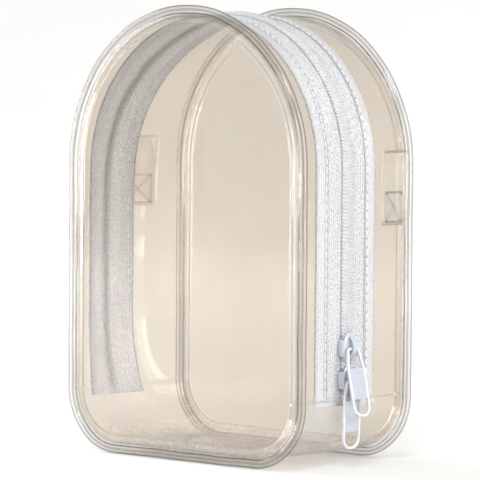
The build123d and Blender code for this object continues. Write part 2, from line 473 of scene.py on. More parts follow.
def woven(name, colour, shade, rib, pick, glow):
    """A fine narrow weave: ribs along the tape and picks across it, from the piece's UVs."""
    material, tree, output = new_material(name)
    links = tree.links
    coords = tree.nodes.new("ShaderNodeUVMap")
    split = tree.nodes.new("ShaderNodeSeparateXYZ")
    links.new(coords.outputs["UV"], split.inputs["Vector"])

    rib_phase = maths(tree, "MULTIPLY", split.outputs["Y"], 2 * math.pi / rib)
    pick_phase = maths(tree, "MULTIPLY", split.outputs["X"], 2 * math.pi / pick)
    slanted = maths(tree, "ADD", pick_phase, maths(tree, "MULTIPLY", rib_phase, 0.5))
    ribs, picks = maths(tree, "SINE", rib_phase), maths(tree, "SINE", slanted)
    weave = maths(tree, "MULTIPLY_ADD", picks, 0.6, ribs)
    fuzz = noise(tree, 1500.0, 1.5)
    mottle = ramp(tree, fuzz, (0.36, shade), (0.60, colour))
    level = tree.nodes.new("ShaderNodeMapRange")
    level.inputs["From Min"].default_value = -1.6
    level.inputs["From Max"].default_value = 1.6
    links.new(weave, level.inputs["Value"])
    # Darker where the weave lies low: painted shade in its hollows.
    hollow_shade = ramp(tree, level.outputs["Result"], (0.05, (0.76,) * 3), (0.6, (1.0,) * 3))
    colours = tree.nodes.new("ShaderNodeMix")
    colours.data_type = "RGBA"
    colours.blend_type = "MULTIPLY"
    colours.inputs["Factor"].default_value = 1.0
    links.new(mottle.outputs["Color"], colours.inputs["A"])
    links.new(hollow_shade.outputs["Color"], colours.inputs["B"])
    shader = add_node(
        tree, "ShaderNodeBsdfPrincipled", Roughness=0.8, Sheen_Weight=0.25, Sheen_Roughness=0.5
    )
    links.new(colours.outputs["Result"], shader.inputs["Base Color"])
    links.new(bump(tree, level.outputs["Result"], 1.0, 0.0003), shader.inputs["Normal"])
    links.new(lit_through(tree, shader, colours.outputs["Result"], glow), output.inputs["Surface"])
    return material


def moulded(name, colour, shade, roughness, grain, depth, coat=0.0, glow=0.0):
    """A solid finish, faintly uneven in colour, gloss and surface; glow lets light through."""
    material, tree, output = new_material(name)
    links = tree.links
    patch = noise(tree, grain, 4.0)
    tone = ramp(tree, patch, (0.3, shade), (0.65, colour))
    gloss = ramp(tree, patch, (0.2, (roughness * 1.25,) * 3), (0.8, (roughness * 0.8,) * 3))
    shader = add_node(
        tree, "ShaderNodeBsdfPrincipled", Coat_Weight=coat, Coat_Roughness=0.08
    )
    links.new(tone.outputs["Color"], shader.inputs["Base Color"])
    links.new(gloss.outputs["Color"], shader.inputs["Roughness"])
    links.new(bump(tree, patch, 0.5, depth), shader.inputs["Normal"])
    surface = shader.outputs["BSDF"]
    if glow:
        surface = lit_through(tree, shader, tone.outputs["Color"], glow)
    links.new(surface, output.inputs["Surface"])
    return material


FILM_MATERIAL = clear_plastic(
    "clear_film", face=(0.922, 0.895, 0.859), edge=(0.86, 0.84, 0.815), roughness=0.06,
    wave=(9.0, 0.0004), fine=(160.0, 0.000006),
)
WELD_MATERIAL = clear_plastic(
    "welded_film", face=(0.982, 0.974, 0.964), edge=(0.66, 0.65, 0.635), roughness=0.1,
    wave=(30.0, 0.0003), fine=(500.0, 0.00001), shine=0.5, haze_colour=(0.92, 0.92, 0.92),
)
BEAD_MATERIAL = clear_plastic(
    "clear_bead", face=(0.948, 0.94, 0.93), edge=(0.10, 0.099, 0.098), roughness=0.07,
    wave=(40.0, 0.0002), fine=(300.0, 0.00001), shine=0.36, haze_colour=(0.85, 0.84, 0.82),
    rim=[(0.22, (0.94, 0.932, 0.922)), (0.5, (0.70, 0.695, 0.69)), (0.8, (0.27, 0.27, 0.27))],
)
BORE_MATERIAL = clear_plastic(
    "bead_bore", face=(0.79, 0.78, 0.765), edge=(0.34, 0.335, 0.33), roughness=0.1,
    wave=(40.0, 0.0002), fine=(300.0, 0.00001), shine=0.3, haze_colour=(0.8, 0.8, 0.8),
)
BASE_MATERIAL = clear_plastic(
    "base_film", face=(0.95, 0.93, 0.905), edge=(0.87, 0.85, 0.83), roughness=0.12,
    wave=(30.0, 0.0006), fine=(1400.0, 0.00008), haze=0.16, haze_colour=(0.98, 0.94, 0.90),
    cloud=(620.0, 0.47, 0.66, 0.45, 2.4),
)
TAB_MATERIAL = clear_plastic(
    "clear_strap", face=(0.985, 0.98, 0.97), edge=(0.5, 0.49, 0.475), roughness=0.09,
    wave=(60.0, 0.0002), fine=(400.0, 0.00002), haze=0.03,
)
RIB_MATERIAL = clear_plastic(
    "pressed_rib", face=(0.97, 0.965, 0.955), edge=(0.15, 0.15, 0.145), roughness=0.08,
    wave=(60.0, 0.0003), fine=(500.0, 0.00004), shine=0.5, haze=0.04, haze_colour=(0.95, 0.95, 0.95),
    rim=[(0.2, (0.96, 0.955, 0.945)), (0.55, (0.66, 0.65, 0.635))],
)
# A greyer, milkier film, used on the front half of the base near the zip's right end.
GREY_HAZE_MATERIAL = clear_plastic(
    "grey_hazed_film", face=(0.925, 0.922, 0.92), edge=(0.86, 0.855, 0.85), roughness=0.1,
    wave=(9.0, 0.0004), fine=(160.0, 0.000006), haze=0.10, haze_colour=(0.66, 0.66, 0.67),
)
SEAM_MATERIAL = clear_plastic(
    "sewn_film", face=(1.0, 1.0, 1.0), edge=(0.95, 0.95, 0.95), roughness=0.12,
    wave=(30.0, 0.0002), fine=(500.0, 0.00001), haze=0.13, haze_colour=(0.97, 0.97, 0.98),
)
TAPE_MATERIAL = woven("zip_tape_weave", (0.95, 0.958, 0.98), (0.62, 0.63, 0.665),
                      rib=1.15, pick=1.0, glow=0.5)
NYLON_MATERIAL = moulded(
    "nylon_coil", (0.97, 0.973, 0.98), (0.92, 0.925, 0.935), 0.35, 500.0, 0.00003, glow=0.85
)
THREAD_MATERIAL = moulded(
    "thread", (0.90, 0.90, 0.91), (0.72, 0.72, 0.74), 0.6, 2500.0, 0.00008, glow=0.2
)
# Dark grey for the needle holes: painted shade standing in for the holes' shadow.
NEEDLE_HOLE_SHADE_MATERIAL = moulded(
    "needle_hole_shade", (0.40, 0.40, 0.42), (0.30, 0.30, 0.32), 0.8, 2500.0, 0.00004
)
ENAMEL_MATERIAL = moulded(
    "white_enamel", (0.66, 0.668, 0.69), (0.58, 0.59, 0.62), 0.22, 220.0, 0.00002, 0.5
)
# The sliders and their bridges are the same white enamel as the pulls; this darker blue-grey is
# painted shade.
SHADED_CASTING_MATERIAL = moulded(
    "slider_enamel", (0.47, 0.51, 0.575), (0.40, 0.44, 0.51), 0.18, 260.0, 0.00003, 0.6
)
# The pull's recessed web is the same white enamel as its rim; its blue-grey is painted shade and
# reflection.
WEB_SHADE_MATERIAL = moulded(
    "grey_inlay", (0.445, 0.468, 0.525), (0.395, 0.418, 0.475), 0.35, 300.0, 0.00003, 0.2
)


# ------------------------ slack film

RIGHT_SLACK = 0.35


def slack(s, y, low, high):
    """The film's own small billow between two held edges, even along the right side."""
    if not low < y < high:
        return 0.0
    along = s.along
    waves = ripple(along, y, [(0.16, 47, 90, 0.4), (0.10, 29, -70, 2.1), (0.05, 13, 50, 1.2)])
    arc = math.sin(math.pi * (y - low) / (high - low))
    return (RIGHT_SLACK + waves) * arc


# ------------------------ film pieces

WALL_INSET = GUSSET_INSET + FILM / 2
FOLD_RADIUS = 1.3
PILLOW = -0.5
FILM_EDGE_FRONT = STRIP_HIGH[1]
FILM_EDGE_BACK = BACK_STRIP_LOW[1]
TAPE_FRONT = TAPE_LOW[1]
TAPE_BACK = BACK_TAPE_HIGH[1]


def make_panel(name, side, waves):
    """A film panel: flat in the welded margin, rippled and slightly full inside it."""
    lip = ((-0.9, 0.0), (-0.3, 0.12), (0.0, 0.2), (0.35, 0.1), (1.0, 0.0), (3.0, 0.0))
    rim = [(GUSSET_INSET, 0.0), (GUSSET_INSET + 0.5, 0.0)]
    rim += [(WELD_INSET + inward, raised) for inward, raised in lip]
    welded_rings = 5
    loop = whole_loop(PANEL_STEP)
    count = len(loop)
    centre_z = HEIGHT / 2
    inner_rings = 26
    sheets = []
    for face in (-0.5, 0.5):
        sheet = []
        for inset, raised in rim:
            for s in loop:
                x, _, z = s.at(inset, PANEL_Y)
                sheet.append((x / MM - BAG_X, raised, z / MM))
        for k in range(1, inner_rings):
            t = 1 - k / inner_rings
            for s in loop:
                x, _, z = s.at(rim[-1][0], PANEL_Y)
                x, z = (x / MM - BAG_X) * t, centre_z + (z / MM - centre_z) * t
                edge = smooth(0, 0.45, 1 - t)
                bulge = PILLOW * (1 - t * t) + edge * ripple(x, z, waves)
                sheet.append((x, bulge, z))
        sheet.append((0, PILLOW + ripple(0, centre_z, waves), centre_z))
        sheets.append(
            [((BAG_X + x) * MM, (side * (-PANEL_Y + out) + face * FILM) * MM, z * MM)
             for x, out, z in sheet]
        )
    verts, faces = sheets[0] + sheets[1], []
    size = len(sheets[0])
    rings = len(rim) + inner_rings - 1
    for start in (0, size):
        faces += band(rings, count, start)
        last = start + (rings - 1) * count
        faces += [(last + j, last + (j + 1) % count, start + size - 1) for j in range(count)]
    faces += [(j, (j + 1) % count, size + (j + 1) % count, size + j) for j in range(count)]
    piece = add_piece(name, verts, faces, FILM_MATERIAL, WELD_MATERIAL)
    for polygon in piece.data.polygons:
        if all(index % size < welded_rings * count for index in polygon.vertices):
            finish_face(piece, polygon, WELD_MATERIAL)
    return piece


def make_piping(name, side):
    """A clear round bead with a bore, and its flat flange with a lipped inner edge."""
    loop = whole_loop(BEAD_STEP)
    bead_sides, bore_sides = 24, 14
    bead_y = -side * (FRONT_Y + BEAD_RADIUS)
    flange_y = -side * FLANGE_Y

    def wander(s, share):
        turn = 2 * math.pi * s.along / LOOP
        return share * (0.10 * math.sin(9 * turn + side) + 0.07 * math.sin(23 * turn + 1.3))

    def bead(radius, count):
        def section(s):
            drift = wander(s, 1.0)
            return circle(BEAD_RADIUS + 0.1 + drift, bead_y, radius + 0.3 * drift, count)
        return section

    def flange(s):
        outer = 2 * BEAD_RADIUS - 0.35
        inner = WELD_INSET + wander(s, 0.8)
        half = FILM / 2
        return [
            (outer, flange_y - half), (inner - 0.7, flange_y - half),
            (inner - 0.35, flange_y - half - 0.12), (inner, flange_y - 0.05),
            (inner, flange_y + 0.05), (inner - 0.35, flange_y + half + 0.12),
            (inner - 0.7, flange_y + half), (outer, flange_y + half),
        ]

    lots = joined(
        sweep(loop, bead(BEAD_RADIUS - 0.12, bead_sides), True),
        sweep(loop, bead(BORE_RADIUS, bore_sides), True),
        sweep(loop, flange, True),
    )
    piece = add_piece(name, *lots[:2], BEAD_MATERIAL, WELD_MATERIAL, BORE_MATERIAL, uvs=lots[2])
    bore_start = bead_sides * len(loop)
    flange_start = bore_start + bore_sides * len(loop)
    for polygon in piece.data.polygons:
        first = min(polygon.vertices)
        if first >= flange_start:
            finish_face(piece, polygon, WELD_MATERIAL)
        elif first >= bore_start:
            finish_face(piece, polygon, BORE_MATERIAL)
    return piece


def turned_corner(side):
    """The fold from the welded margin into the wall, as (inset, y) points outside in."""
    points = [(WELD_INSET, side * abs(TURN_Y)), (WELD_INSET - 1.6, side * abs(TURN_Y))]
    inset, y = WALL_INSET + FOLD_RADIUS, abs(TURN_Y) - FOLD_RADIUS
    steps = 6
    for k in range(steps + 1):
        a = math.pi / 2 * k / steps
        points.append((inset - FOLD_RADIUS * math.sin(a), side * (y + FOLD_RADIUS * math.cos(a))))
    return points


def even_steps(start, end, count):
    return [start + (end - start) * k / count for k in range(1, count + 1)]


def make_strip(name, side, film_edge, tape_edge):
    """A gusset strip: its welded margin, its free wall, and the flat margin sewn to the tape."""
    fold = turned_corner(side)
    start_y = fold[-1][1]
    low, high = sorted((start_y, tape_edge))
    across = even_steps(start_y, film_edge, 16)

    def section(s):
        line = list(fold)
        for y in across:
            line.append((WALL_INSET - slack(s, y, low, high), y))
        return thick_line(line, FILM)

    lots = sweep(stations(ZIP_START, ZIP_STOP), section)
    piece = add_piece(name, *lots[:2], FILM_MATERIAL, SEAM_MATERIAL, WELD_MATERIAL, uvs=lots[2])
    size = 2 * (len(fold) + len(across))
    for polygon in piece.data.polygons:
        places = [index % size for index in polygon.vertices]
        if all(min(k, size - 1 - k) <= 2 for k in places):
            finish_face(piece, polygon, WELD_MATERIAL)
        depths = [min(k, size - 1 - k) - len(fold) for k in places]
        if min(depths) >= 0 and all(side * across[k] <= side * tape_edge + 0.6 for k in depths):
            finish_face(piece, polygon, SEAM_MATERIAL)
    return piece


def make_bottom_gusset():
    """The plain film under the bag, whose ends are welded down over the zip's two ends."""
    front, back = turned_corner(-1), turned_corner(1)
    reach = back[-1][1]
    across = even_steps(-reach, reach, 30)[:-1]
    length = ZIP_START + LOOP - ZIP_STOP
    path = stations(ZIP_STOP, ZIP_START + LOOP, BASE_STEP)
    waves = [(0.22, 52, 61, 0.9), (0.12, 31, -43, 2.0), (0.06, 15, 27, 0.2)]

    def section(s):
        run = min(s.along - ZIP_STOP, ZIP_STOP + length - s.along)
        calm = smooth(2, 16, run)
        line = list(front)
        for y in across:
            wave = ripple(s.along, y, waves)
            line.append((WALL_INSET - calm * wave * (1 - (y / reach) ** 4), y))
        line += back[::-1]
        return thick_line(line, FILM)

    lots = sweep(path, section)
    materials = (FILM_MATERIAL, BASE_MATERIAL, SEAM_MATERIAL, GREY_HAZE_MATERIAL)
    piece = add_piece("bottom_film", *lots[:2], *materials, uvs=lots[2])
    size = 2 * (2 * len(front) + len(across))
    rows = len(path) - 1
    for polygon in piece.data.polygons:
        row = min(polygon.vertices) // size
        turns = [index % size for index in polygon.vertices]
        places = [min(k, size - 1 - k) - len(front) for k in turns]
        on_wall = all(0 <= k < len(across) for k in places)
        run = ZIP_STOP + (row + 0.5) / rows * length
        if abs(run - BASE_START - BASE / 2) < BASE / 2 + FOOT * 0.45:
            finish_face(piece, polygon, BASE_MATERIAL)
        elif on_wall and row > rows / 2 and all(across[k] < ZIP_Y + CHAIN_HALF for k in places):
            finish_face(piece, polygon, GREY_HAZE_MATERIAL)
        over_zip = on_wall and all(abs(across[k] - ZIP_Y) < TAPE_HALF + 1 for k in places)
        if over_zip and (row < 2 or row >= rows - 2):
            finish_face(piece, polygon, SEAM_MATERIAL)
    return piece


# ------------------------ the zip

TAPE_MIDDLE = TAPE_INSET + TAPE_THICKNESS / 2
CHAIN_SLIT = COIL_HIGH[1] - ZIP_Y
COIL_TOP = COIL_INSET + 0.05
COIL_FOOT = TAPE_INSET + 0.02
SEAM_PITCH = 3.3
SEWN_FROM, SEWN_TO = ZIP_START + 1, ZIP_STOP - 1


def make_tape(name, side, far):
    """A woven tape with a thicker selvedge, its inner edge under the coil."""
    near = ZIP_Y + side * 0.12
    start, end = right_along(ZIP_END_RIGHT - TAPE_TUCK), left_along(ZIP_END_LEFT - TAPE_TUCK)
    path = stations(start, end, TAPE_STEP)
    steps = 22

    def section(s):
        top, low = [], []
        for k in range(steps + 1):
            y = near + (far - near) * k / steps
            thicker = 0.12 if k >= steps - 1 else 0.0
            wave = 0.01 * math.sin(s.along / 5.1 + y / 4.0)
            top.append((TAPE_MIDDLE - TAPE_THICKNESS / 2 - thicker * 0.1 + 0.03 - wave, y))
            low.append((TAPE_MIDDLE + TAPE_THICKNESS / 2 + thicker, y))
        return top + low[::-1]

    edge = far - side * 0.2
    selvedge = sweep(path, lambda s: circle(TAPE_MIDDLE - 0.06, edge, 0.34, 8))
    lots = joined(sweep(path, section), selvedge)
    return add_piece(name, *lots[:2], TAPE_MATERIAL, uvs=lots[2])


def chain_point(along, inset, y):
    return [c / MM for c in station(along).at(inset, y)]


def make_coil(name, side):
    """One side of the chain: a nylon wire wound into turns whose heads mesh at the middle."""
    turns = int((ZIP_STOP - ZIP_START - 1.0) / COIL_PITCH)
    per_turn = 14
    shift = COIL_PITCH / 2 if side > 0 else 0.0
    outer = CHAIN_HALF - COIL_WIRE
    head = -0.42
    high = COIL_TOP + COIL_WIRE
    low = COIL_FOOT - COIL_WIRE
    points = []
    for k in range(turns * per_turn):
        t = k / per_turn
        a = 2 * math.pi * t
        reach = (1 + math.cos(a)) / 2
        y = head + (outer - head) * (1 - reach)
        lift = math.sin(a)
        swell = 1.0 + 0.12 * max(0.0, math.cos(a))
        inset = (high + low) / 2 - (low - high) / 2 * lift * swell
        run = ZIP_START + 0.6 + shift + t * COIL_PITCH
        points.append(chain_point(run, inset, ZIP_Y + side * y))

    def wire(k):
        a = 2 * math.pi * (k / per_turn)
        return COIL_WIRE * (1.0 + 0.18 * max(0.0, math.cos(a)))

    return add_piece(name, *tube(points, wire, 7), NYLON_MATERIAL)


def make_core(name, side):
    """The cord that runs through the turns of one coil."""
    path = stations(ZIP_START + 0.5, ZIP_STOP - 0.5)
    y = ZIP_Y + side * (CHAIN_HALF + CHAIN_SLIT) / 2 * 0.95
    inset = (COIL_INSET + TAPE_INSET) / 2
    points = [chain_point(s.along, inset, y) for s in path]
    return add_piece(name, *tube(points, CORE_RADIUS), NYLON_MATERIAL)


def stitch_row(y, inset, pitch, length, radius, jitter=0.0):
    """Short raised threads in a row along the zip, dipping into the cloth at each end."""
    lots = []
    for k in range(int((SEWN_TO - SEWN_FROM) / pitch)):
        middle = SEWN_FROM + (k + 0.5) * pitch
        side_step = jitter * math.sin(7.3 * k)
        points = []
        for j in range(5):
            t = j / 4 - 0.5
            dip = radius * 1.6 * (2 * t) ** 4
            place = inset - radius * 0.5 + dip
            points.append(chain_point(middle + t * length, place, y + side_step))
        lots.append(tube(points, radius, 5))
    return joined(*lots)


def make_seam_stitches(name, y):
    """The lockstitch that holds a film strip to the tape under it."""
    lots = stitch_row(y, GUSSET_INSET, SEAM_PITCH, 2.4, 0.24)
    return add_piece(name, *lots[:2], THREAD_MATERIAL)


def make_seam_hole_shade(name, y, radius):
    """Dark grey marks at the needle holes between the stitches of one seam: painted shade in the
    holes.
    """
    lots = []
    for k in range(1, int((SEWN_TO - SEWN_FROM) / SEAM_PITCH)):
        middle = SEWN_FROM + k * SEAM_PITCH
        points = [chain_point(middle + step, GUSSET_INSET - 0.03, y) for step in (-0.42, 0.0, 0.42)]
        lots.append(tube(points, lambda j: radius if j == 1 else radius / 2))
    return add_piece(name, *joined(*lots)[:2], NEEDLE_HOLE_SHADE_MATERIAL)


def make_chain_stitches(name, side):
    """The two fine thread rows that sew one coil to its tape."""
    near_y, far_y = (ZIP_Y + side * (CHAIN_HALF + out) for out in (0.35, 3.1))
    near = stitch_row(near_y, TAPE_INSET, COIL_PITCH, 0.95, 0.2, 0.03)
    far = stitch_row(far_y, TAPE_INSET, COIL_PITCH, 0.85, 0.15, 0.03)
    return add_piece(name, *joined(near, far)[:2], THREAD_MATERIAL)


# ------------------------ sliders and pulls


def box_plan(half, low, high):
    return [(-half, low), (half, low), (half, high), (-half, high)]


def prism(plan, x_low, x_high, z_middle, taper=0.0):
    """A closed slab over a (y, z) plan between two heights along +X."""
    verts = []
    for x, share in ((x_low, 1.0), (x_high, 1.0 - taper)):
        verts += [(x * MM, (ZIP_Y + y * share) * MM, (z_middle + z * share) * MM) for y, z in plan]
    return verts, skin(2, len(plan))


def make_slider_body(name, node):
    """A die-cast slider: a shield-shaped upper plate with side flanges, a post, a lower plate."""
    low, high = node_box(node)
    middle, half = (low[2] + high[2]) / 2, (high[2] - low[2]) / 2
    wide, narrow = 4.3, 3.75
    inner = CHAIN_HALF + 0.2
    top_low = COIL_HIGH[0] + 0.2
    flange_low = TAPE_HIGH[0] + 0.2
    lower_high = TAPE_HIGH[0] - TAPE_THICKNESS - 0.2
    cheek = [(wide, -0.9), (wide - 0.25, 0.5)]
    right = [(1.2, -half + 0.9), (2.5, -half), (3.6, -half + 1.1)]
    right += [*cheek, (2.7, half - 1.7), (1.5, half)]
    plan = right + [(-y, z) for y, z in right[::-1]]
    top = prism(plan, top_low, high[0], middle, 0.10)
    lower = prism(plan, low[0], lower_high, middle)
    wall = [(inner, -half + 1.4), (narrow, -half + 1.5), *cheek, (narrow, 2.0), (inner, 2.6)]
    flanges = [
        prism([(side * y, z) for y, z in wall], flange_low, top_low + 0.15, middle) for side in (-1, 1)
    ]
    post_plan = box_plan(0.38, -half + 0.1, -half + 1.8)
    post = prism(post_plan, lower_high - 0.1, top_low + 0.1, middle)
    lots = joined(top, lower, *flanges, post)
    piece = add_piece(name, *lots[:2], SHADED_CASTING_MATERIAL, body=node.replace("_body", ""))
    return bevelled(piece, 0.32)


def make_crown(name, node):
    """The arched bridge, a strap that is widest at its feet."""
    low, high = node_box(node)
    middle, half = (low[2] + high[2]) / 2, (high[2] - low[2]) / 2
    rise = high[0] - low[0]
    radius = (half**2 + rise**2) / (2 * rise)
    centre = high[0] - radius
    swing = math.asin(half / radius)
    thickness = 0.7
    steps = 20
    foot = swing * 1.06
    verts = []
    for k in range(steps + 1):
        a = -foot + 2 * foot * k / steps
        width = 1.0 + 0.2 * (a / swing) ** 2
        half_ring = [(radius, width * 0.75), (radius - 0.2, width),
                     (radius - thickness + 0.15, width), (radius - thickness, width * 0.8)]
        ring = half_ring + [(r, -w) for r, w in half_ring[::-1]]
        verts += [((centre + r * math.cos(a)) * MM, (ZIP_Y + w) * MM, (middle + r * math.sin(a)) * MM)
                  for r, w in ring]
    faces = skin(steps + 1, len(ring))
    piece = add_piece(name, verts, faces, SHADED_CASTING_MATERIAL, body=node.replace("_crown", ""))
    return bevelled(piece, 0.08, 2)


PULL_BAR = 0.55
PULL_LENGTH = 25.0
PULL_TOP_HALF = 3.2
PULL_WIDE_HALF = 4.7
PULL_RIM = 1.1
PULL_SHOULDER = 6.4
RIM_HALF_WIDTH = 0.54
RIM_HALF_DEPTH = 0.6
TOP_CORNER = 1.9
WEB_DROP = 6.4
WEB_LIFT = 5.2
WEB_HALF_DEPTH = 0.3


def rounded_line(corners, steps=8):
    """A closed line through (a, b, radius) corners with true arcs at them."""
    line = []
    count = len(corners)
    for k, (a, b, radius) in enumerate(corners):
        here = Vector((a, b))
        before = Vector(corners[k - 1][:2]) - here
        after = Vector(corners[(k + 1) % count][:2]) - here
        before.normalize()
        after.normalize()
        half = before.angle(after) / 2
        reach = radius / math.tan(half)
        bisector = (before + after).normalized()
        centre = here + bisector * (radius / math.sin(half))
        first = here + before * reach - centre
        last = here + after * reach - centre
        turn = first.angle_signed(last)
        for j in range(steps + 1):
            line.append(centre + Matrix.Rotation(-turn * j / steps, 2) @ first)
    return line


def pull_outline(inset):
    """The pull's outline in its own plane, (y, z) from its bar, drawn in from its edge."""
    bottom = -(PULL_LENGTH - PULL_BAR) + inset
    top = PULL_BAR - inset
    side = PULL_WIDE_HALF - inset
    top_half = PULL_TOP_HALF - inset
    top_round = TOP_CORNER - inset
    foot_round = PULL_WIDE_HALF - 0.75 - inset * 0.95
    return rounded_line([
        (-top_half, top, top_round),
        (top_half, top, top_round),
        (side, -PULL_SHOULDER, 9.0),
        (side, bottom, foot_round),
        (-side, bottom, foot_round),
        (-side, -PULL_SHOULDER, 9.0),
    ])


def pull_place(pull_node, hinge):
    """The pull's own frame at rest: at its hinge, leaning as its CAD solid does."""
    low, high = node_box(pull_node)
    reach = PULL_LENGTH - PULL_BAR
    outer = high[0] - hinge.x / MM
    inner = hinge.x / MM - low[0]
    if outer > inner:
        lean = math.asin((outer - RIM_HALF_DEPTH) / reach)
    else:
        lean = -math.asin(max(0.0, inner - RIM_HALF_DEPTH) / reach)
    return Matrix.Translation(hinge) @ Matrix.Rotation(-lean, 4, "Y")


def make_pull(prefix, hinge):
    """A wire-like rim round a recessed web, with a window above and below the web; the web is painted
    blue-grey as shade and reflection.
    """
    place = pull_place(prefix, hinge)
    rim_line = pull_outline(PULL_RIM / 2)
    count = len(rim_line)
    rim_verts = []
    sides = 12
    for k, p in enumerate(rim_line):
        after, before = rim_line[(k + 1) % count], rim_line[k - 1]
        tangent = (after - before).normalized()
        normal = Vector((-tangent.y, tangent.x))
        near_bar = smooth(-1.6, -0.2, p.y)
        wide = RIM_HALF_WIDTH + (PULL_BAR - RIM_HALF_WIDTH) * near_bar
        thick = RIM_HALF_DEPTH + (PULL_BAR - RIM_HALF_DEPTH) * near_bar
        for j in range(sides):
            a = 2 * math.pi * j / sides
            c, n = math.cos(a), math.sin(a)
            c = math.copysign(abs(c) ** 0.75, c)
            n = math.copysign(abs(n) ** 0.75, n)
            q = p + normal * c * wide
            rim_verts.append(tuple(place @ (Vector((n * thick, q.x, q.y)) * MM)))
    rim_faces = skin(count, sides, closed=True)
    rim = add_piece(prefix + "_rim", rim_verts, rim_faces, ENAMEL_MATERIAL, body=prefix)

    top = -PULL_BAR - WEB_DROP
    low = -(PULL_LENGTH - PULL_BAR) + PULL_RIM + WEB_LIFT
    plan = box_plan(PULL_WIDE_HALF - PULL_RIM + 0.3, low, top)
    verts = [tuple(place @ (Vector((x, y, z)) * MM))
             for x in (-WEB_HALF_DEPTH, WEB_HALF_DEPTH) for y, z in plan]
    web = add_piece(prefix + "_inlay", verts, skin(2, len(plan)), WEB_SHADE_MATERIAL,
                      body=prefix, shade_smooth=False)
    return rim, bevelled(web, 0.12, 2)


# ------------------------ loop tabs


STRAP = 0.6
WELD_TALL = 13.0
WELD_MARGIN = 1.2


def beside(side, wall, away, y, z):
    """A point in millimetres a distance off one side's wall, which gives with the gusset."""
    out, drift = give(left_along(z) if side < 0 else right_along(z), y)
    return BAG_X + side * (wall + away + out), y + drift


def strap_line(outer, low_z, high_z):
    """The folded strap's middle line, as (off the wall, z): up, over and back down."""
    radius = outer / 2
    bend = radius - STRAP / 2
    spring = high_z - radius
    line = [(STRAP / 2, low_z + (spring - low_z) * k / 8) for k in range(9)]
    for k in range(1, 12):
        a = math.pi * k / 12
        line.append((radius - bend * math.cos(a), spring + bend * math.sin(a)))
    for k in range(15):
        z = spring - (spring - low_z) * k / 14
        opening = smooth(low_z + WELD_TALL - 1, spring, z)
        line.append((STRAP * 1.5 + (outer - 2 * STRAP) * opening, z))
    return line


def make_strap(name, side, wall, low, high):
    """The strap: two skins either side of its middle line, joined round their edges."""
    y_middle, half = (low[1] + high[1]) / 2, (high[1] - low[1]) / 2
    line = strap_line(high[0] - low[0], low[2], high[2])
    normals = []
    for k in range(len(line)):
        after, before = line[min(k + 1, len(line) - 1)], line[max(k - 1, 0)]
        d = Vector((after[0] - before[0], after[1] - before[1])).normalized()
        normals.append(Vector((-d.y, d.x)) * STRAP / 2 * 0.94)
    columns = [y_middle + half * c for c in (-1.0, -0.96, -0.5, 0.0, 0.5, 0.96, 1.0)]
    verts = []
    for sign in (1, -1):
        for (away, z), normal in zip(line, normals):
            for column in columns:
                x, y = beside(side, wall, away, column, z)
                verts.append(((x + side * sign * normal.x) * MM, y * MM, (z + sign * normal.y) * MM))
    rows, count = len(line), len(columns)
    size = rows * count
    cells = [start + k * count + j
             for start in (0, size) for k in range(rows - 1) for j in range(count - 1)]
    faces = [(a, a + 1, a + count + 1, a + count) for a in cells]
    long_edges = [k * count + j for k in range(rows - 1) for j in (0, count - 1)]
    faces += [(a, a + count, a + count + size, a + size) for a in long_edges]
    short_edges = [k * count + j for k in (0, rows - 1) for j in range(count - 1)]
    faces += [(a, a + 1, a + 1 + size, a + size) for a in short_edges]
    return add_piece(name, verts, faces, TAB_MATERIAL)


def make_weld_ribs(name, side, wall, low, high):
    """The boxed cross that the weld presses into the strap."""
    z_low, z_high = low[2] + WELD_MARGIN, low[2] + WELD_TALL - WELD_MARGIN
    y_low, y_high = low[1] + WELD_MARGIN, high[1] - WELD_MARGIN
    corners = [(y_low, z_low), (y_high, z_low), (y_high, z_high), (y_low, z_high)]
    ribs = []
    for first, last in ((0, 1), (1, 2), (2, 3), (3, 0), (0, 2), (1, 3)):
        (y0, z0), (y1, z1) = corners[first], corners[last]
        points = []
        for k in range(9):
            y, z = y0 + (y1 - y0) * k / 8, z0 + (z1 - z0) * k / 8
            points.append((*beside(side, wall, 2 * STRAP, y, z), z))
        ribs.append(tube(points, 0.36, 10))
    return add_piece(name + "_weld", *joined(*ribs)[:2], RIB_MATERIAL)


def make_loop_tab(name, node, side):
    """A clear strap folded into a flat loop, with a boxed cross pressed into its weld."""
    low, high = node_box(node)
    wall = abs((low[0] if side > 0 else high[0]) - BAG_X)
    strap = make_strap(name, side, wall, low, high)
    return strap, make_weld_ribs(name, side, wall, low, high)


# ------------------------ the pieces


def stand_for(piece, slot_name, *nodes):
    if nodes:
        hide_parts(*nodes)


FRONT_WAVES = ((0.34, 210, 96, 0.3), (0.26, -120, 150, 1.4), (0.16, 61, -83, 2.6), (0.05, 27, 34, 0.9))
BACK_WAVES = ((0.30, -190, 110, 1.1), (0.24, 130, 170, 2.4), (0.15, 57, 74, 0.2), (0.05, -30, 25, 1.7))
SEAM_FRONT = FILM_EDGE_FRONT - 1.1
SEAM_BACK = FILM_EDGE_BACK + 1.1

stand_for(make_panel("front_film", 1, FRONT_WAVES), "clear_film", "front_panel")
stand_for(make_panel("back_film", -1, BACK_WAVES), "clear_film", "back_panel")
stand_for(make_piping("front_bead", 1), "clear_piping", "front_piping")
stand_for(make_piping("back_bead", -1), "clear_piping", "back_piping")
front_strip = make_strip("front_strip", -1, FILM_EDGE_FRONT, TAPE_FRONT)
stand_for(front_strip, "clear_film", "gusset_front_strip")
back_strip = make_strip("back_strip", 1, FILM_EDGE_BACK, TAPE_BACK)
stand_for(back_strip, "clear_film", "gusset_back_strip")
stand_for(make_bottom_gusset(), "clear_film", "bottom_gusset")

